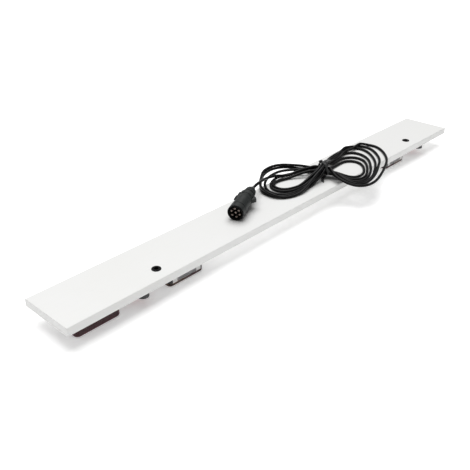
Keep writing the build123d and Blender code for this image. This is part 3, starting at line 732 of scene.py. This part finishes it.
# %% Lens optics
def optic_plate(low, high, steps, height):
    """The points and faces of a plate whose upper side rises to height(x, y) above low."""
    xs, ys = (np.linspace(low[axis], high[axis], steps[axis] + 1) for axis in (0, 1))
    x, y = np.meshgrid(xs, ys, indexing="ij")
    flat = np.stack([x, y, np.full_like(x, low[2])], -1).reshape(-1, 3)
    risen = flat + np.stack([0 * x, 0 * x, height(x, y)], -1).reshape(-1, 3)
    across, count = steps[1] + 1, flat.shape[0]
    corners = [(i * across + j) for i in range(steps[0]) for j in range(steps[1])]
    faces = [(c, c + 1, c + across + 1, c + across) for c in corners]
    faces += [tuple(count + corner for corner in face) for face in faces]
    rim = ([i * across for i in range(steps[0])]
           + [steps[0] * across + j for j in range(steps[1])]
           + [i * across + steps[1] for i in range(steps[0], 0, -1)]
           + list(range(steps[1], 0, -1)))
    faces += [(a, b, b + count, a + count) for a, b in zip(rim, rim[1:] + rim[:1])]
    return np.vstack([flat, risen]), faces


def joined(parts):
    """Several sets of points and faces as one."""
    points, faces = [], []
    for some_points, some_faces in parts:
        faces += [tuple(len(points) + corner for corner in face) for face in some_faces]
        points += list(some_points)
    return points, faces


def flutes(x, y):
    return 0.0005 + 0.0009 * np.abs(np.cos(pi * x / 0.003))


def pillows(x, y, pitch=0.004):
    return 0.0005 + 0.0009 * (np.cos(pi * x / pitch) * np.cos(pi * y / pitch)) ** 2


lens_inside = 0.00255
for end in ("left", "right"):
    for colour, height in (("amber", flutes), ("red", pillows)):
        low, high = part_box(f"rear_lamp_lens_{colour}_{end}")
        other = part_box(f"rear_lamp_lens_{'red' if colour == 'amber' else 'amber'}_{end}")
        inner, way = (low[0], 1) if other[0][0] < low[0] else (high[0], -1)
        plates = []
        for start, stop, half in ((0.0008, 0.032, 0.039), (0.0326, 0.044, 0.027)):
            sides = sorted((inner + way * start, inner + way * stop))
            steps = [max(2, round((sides[1] - sides[0]) / 0.0005)),
                     1 if colour == "amber" else round(2 * half / 0.0008)]
            plates.append(optic_plate((sides[0], -half, lens_inside), (sides[1], half), steps,
                                      height))
        piece(f"lens_optics_{colour}_{end}", *joined(plates), f"lens_{colour}", sharp=60)
low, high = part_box("fog_lamp_lens")
fog_middle = ((low[0] + high[0]) / 2, (low[1] + high[1]) / 2)
fog_plate = optic_plate((fog_middle[0] - 0.036, fog_middle[1] - 0.020, lens_inside),
                        (fog_middle[0] + 0.036, fog_middle[1] + 0.020), (90, 50),
                        lambda x, y: pillows(x, y, 0.005))
piece("lens_optics_fog", *fog_plate, "lens_red", sharp=60)

# %% [markdown]
# ## Prisms of the warning triangles
#
# A warning triangle glows because its face is a field of small prisms that send light back where
# it came from. Each is a low six-sided point here, four millimetres wide. They fill the triangle
# in rows like honeycomb, and stop short of its sides and of the three screws.

# %% Triangle prisms
triangle_side, prism_width, prism_rise = 0.156, 0.0042, 0.00045
rim_width, corner_reach = 0.006, 0.0690
screw_spots = [(-0.050, 0.032), (0.050, 0.032), (0.0, -0.052)]
side_normals = [(sin(turn), cos(turn)) for turn in (0, 2 * pi / 3, -2 * pi / 3)]
inner_reach = triangle_side / (2 * math.sqrt(3)) - rim_width - prism_width * 0.6


def prism(x, y, face_z):
    """One six-sided point, its tip down, with a closed top."""
    ring = [(x + prism_width / math.sqrt(3) * sin(turn * pi / 3),
             y + prism_width / math.sqrt(3) * cos(turn * pi / 3), face_z) for turn in range(6)]
    return ring + [(x, y, face_z - prism_rise)], [(a, (a + 1) % 6, 6) for a in range(6)] + [
        tuple(range(6))]


for end in ("left", "right"):
    low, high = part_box(f"triangle_backing_{end}")
    middle = ((low[0] + high[0]) / 2, high[1] - triangle_side / (2 * math.sqrt(3)))
    face_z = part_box(f"triangle_reflector_{end}")[0][2] + 0.00002
    prisms = []
    for row in range(-20, 21):
        for column in range(-20, 21):
            x = (column + row % 2 / 2) * prism_width
            y = row * prism_width * math.sqrt(3) / 2
            inside = all(x * nx + y * ny < inner_reach for nx, ny in side_normals)
            clear = all(math.hypot(x - sx, y - sy) > 0.0068 for sx, sy in screw_spots)
            if inside and clear and math.hypot(x, y) < corner_reach:
                prisms.append(prism(middle[0] + x, middle[1] + y, face_z))
    piece(f"triangle_prisms_{end}", *joined(prisms), "triangle_red", sharp=5)
print("prisms in each triangle", len(prisms))

# %% [markdown]
# ## Filaments
#
# Through a clear bulb one sees its filament: two stiff wires and a fine coil between them. Each is
# a tube swept along a path, and the coil's path is a helix.

# %% Bulb filaments
def tube(path, radius, corners=6):
    """The points and faces of a round tube along a path."""
    points, path = [], np.array(path, float)
    for spot, way in zip(path, np.gradient(path, axis=0)):
        way = way / np.linalg.norm(way)
        side = np.cross(way, [0.31, 0.22, 0.92])
        side /= np.linalg.norm(side)
        up = np.cross(side, way)
        turns_round = [2 * pi * corner / corners for corner in range(corners)]
        points += [spot + radius * (side * cos(turn) + up * sin(turn)) for turn in turns_round]
    return points, tube_faces(len(path), corners, False)


def filament(foot, way, across):
    """The wires and coil of one bulb, from the foot in its cap towards its middle."""
    foot, way, across = (np.array(value, float) for value in (foot, way, across))
    tip = foot + way * 0.017
    parts = [tube([foot + across * side * 0.0022, foot + across * side * 0.0026 + way * 0.009,
                   tip + across * side * 0.0040], 0.00022) for side in (-1, 1)]
    third = np.cross(way, across)
    coil = [tip + across * (t / 60 - 1) * 0.0040
            + 0.0006 * (way * cos(t * pi / 5) + third * sin(t * pi / 5)) for t in range(121)]
    return parts + [tube(coil, 0.00012, 5)]


for end in ("left", "right"):
    low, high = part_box(f"rear_lamp_bulb_glasses_{end}")
    bulb_z = (low[2] + high[2]) / 2
    parts = []
    for x in (low[0] + 0.012, high[0] - 0.012):
        parts += filament((x, high[1], bulb_z), (0, -1, 0), (1, 0, 0))
    piece(f"bulb_filaments_{end}", *joined(parts), "screw_steel")
low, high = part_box("fog_lamp_bulb_glass")
fog_parts = filament((high[0], (low[1] + high[1]) / 2, (low[2] + high[2]) / 2), (-1, 0, 0),
                     (0, 1, 0))
piece("bulb_filament_fog", *joined(fog_parts), "screw_steel")
print("filaments made")

# %% [markdown]
# ## Floor and light
#
# A white floor under a bright even sky, with one wide soft light from above and behind. A sun is
# used, because it is as bright at one end of a long board as at the other, and a wide angle makes
# its shadows soft. The floor glows a little, like a table lit from inside, which keeps the
# shadow under the board faint and the background white.

# %% Studio
floor_mesh = bpy.data.meshes.new("floor")
work = bmesh.new()
bmesh.ops.create_grid(work, x_segments=8, y_segments=8, size=12)
work.to_mesh(floor_mesh)
work.free()
floor = new_object("floor", floor_mesh)
paper = Finish("floor_paper", roughness=0.9, specular=0.1)
paper.face(base_color=paper.tint(paper.grain(3, 2), (0.94, 0.94, 0.94), (0.93, 0.93, 0.93)),
           emission_color=(1.0, 1.0, 1.0, 1.0), emission_strength=0.34)
floor_mesh.materials.append(paper.material)
light_from = Vector((0.5, 0.7, 2.8))
key = bpy.data.lights.new("key", "SUN")
key.energy, key.angle = 3.0, radians(60)
key_holder = bpy.data.objects.new("key", key)
key_holder.rotation_euler = light_from.to_track_quat("Z", "Y").to_euler()
bpy.context.scene.collection.objects.link(key_holder)
world = bpy.data.worlds.new("studio")
bpy.context.scene.world = world
world.use_nodes = True
world.node_tree.nodes["Background"].inputs["Color"].default_value = (1.0, 1.0, 1.0, 1.0)
world.node_tree.nodes["Background"].inputs["Strength"].default_value = 0.20
bpy.context.scene.view_settings.view_transform = "Standard"
